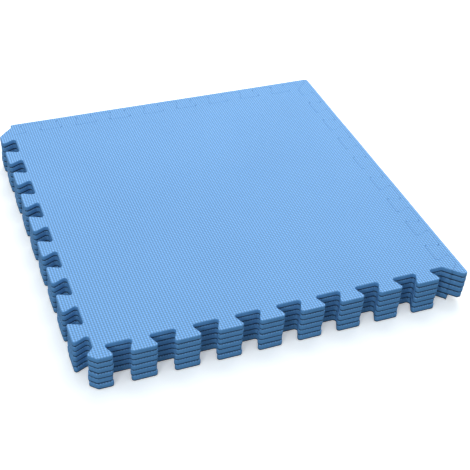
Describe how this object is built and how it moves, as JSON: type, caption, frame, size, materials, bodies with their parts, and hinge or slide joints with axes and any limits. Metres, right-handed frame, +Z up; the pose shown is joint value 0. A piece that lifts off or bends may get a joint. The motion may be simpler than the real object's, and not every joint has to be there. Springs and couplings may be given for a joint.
{
  "type": "stack of interlocking foam blocking mats",
  "caption": "Pile of square foam blocking mats with dovetail tabs along their edges, most with straight border strips clipped to two sides.",
  "frame": {"origin": "on the floor, under the middle of the mats' square module", "axes": "+Z up; -Y is the front with free tabs, -X the left side with free tabs, +X and +Y the sides with border strips"},
  "size_m": [0.635, 0.6348, 0.0648],
  "materials": {
    "mat_foam": "matte closed-cell foam with a fine raised weave on its face",
    "border_foam": "matte closed-cell foam, the same sheet as the mats"
  },
  "bodies": {
    "bottom_mat": {"bottom_mat": "mat_foam"},
    "fifth_mat": {"fifth_mat": "mat_foam", "fifth_right_border": "border_foam", "fifth_back_border": "border_foam"},
    "fourth_mat": {"fourth_mat": "mat_foam", "fourth_right_border": "border_foam", "fourth_back_border": "border_foam"},
    "third_mat": {"third_mat": "mat_foam", "third_right_border": "border_foam", "third_back_border": "border_foam"},
    "second_mat": {"second_mat": "mat_foam", "second_right_border": "border_foam", "second_back_border": "border_foam"},
    "top_mat": {"top_mat": "mat_foam"},
    "top_right_border": {"top_right_border": "border_foam"},
    "top_back_border": {"top_back_border": "border_foam"}
  },
  "joints": [
    {"name": "fifth_mat_lift", "type": "slide", "parent": "bottom_mat", "child": "fifth_mat", "axis": [0, 0, 1], "range_m": [0, 0.1]},
    {"name": "fourth_mat_lift", "type": "slide", "parent": "fifth_mat", "child": "fourth_mat", "axis": [0, 0, 1], "range_m": [0, 0.1]},
    {"name": "third_mat_lift", "type": "slide", "parent": "fourth_mat", "child": "third_mat", "axis": [0, 0, 1], "range_m": [0, 0.1]},
    {"name": "second_mat_lift", "type": "slide", "parent": "third_mat", "child": "second_mat", "axis": [0, 0, 1], "range_m": [0, 0.1]},
    {"name": "top_mat_lift", "type": "slide", "parent": "second_mat", "child": "top_mat", "axis": [0, 0, 1], "range_m": [0, 0.1]},
    {"name": "top_right_border_unclip", "type": "slide", "parent": "top_mat", "child": "top_right_border", "axis": [0, 0, 1], "range_m": [0, 0.03]},
    {"name": "top_back_border_unclip", "type": "slide", "parent": "top_mat", "child": "top_back_border", "axis": [0, 0, 1], "range_m": [0, 0.03]}
  ]
}
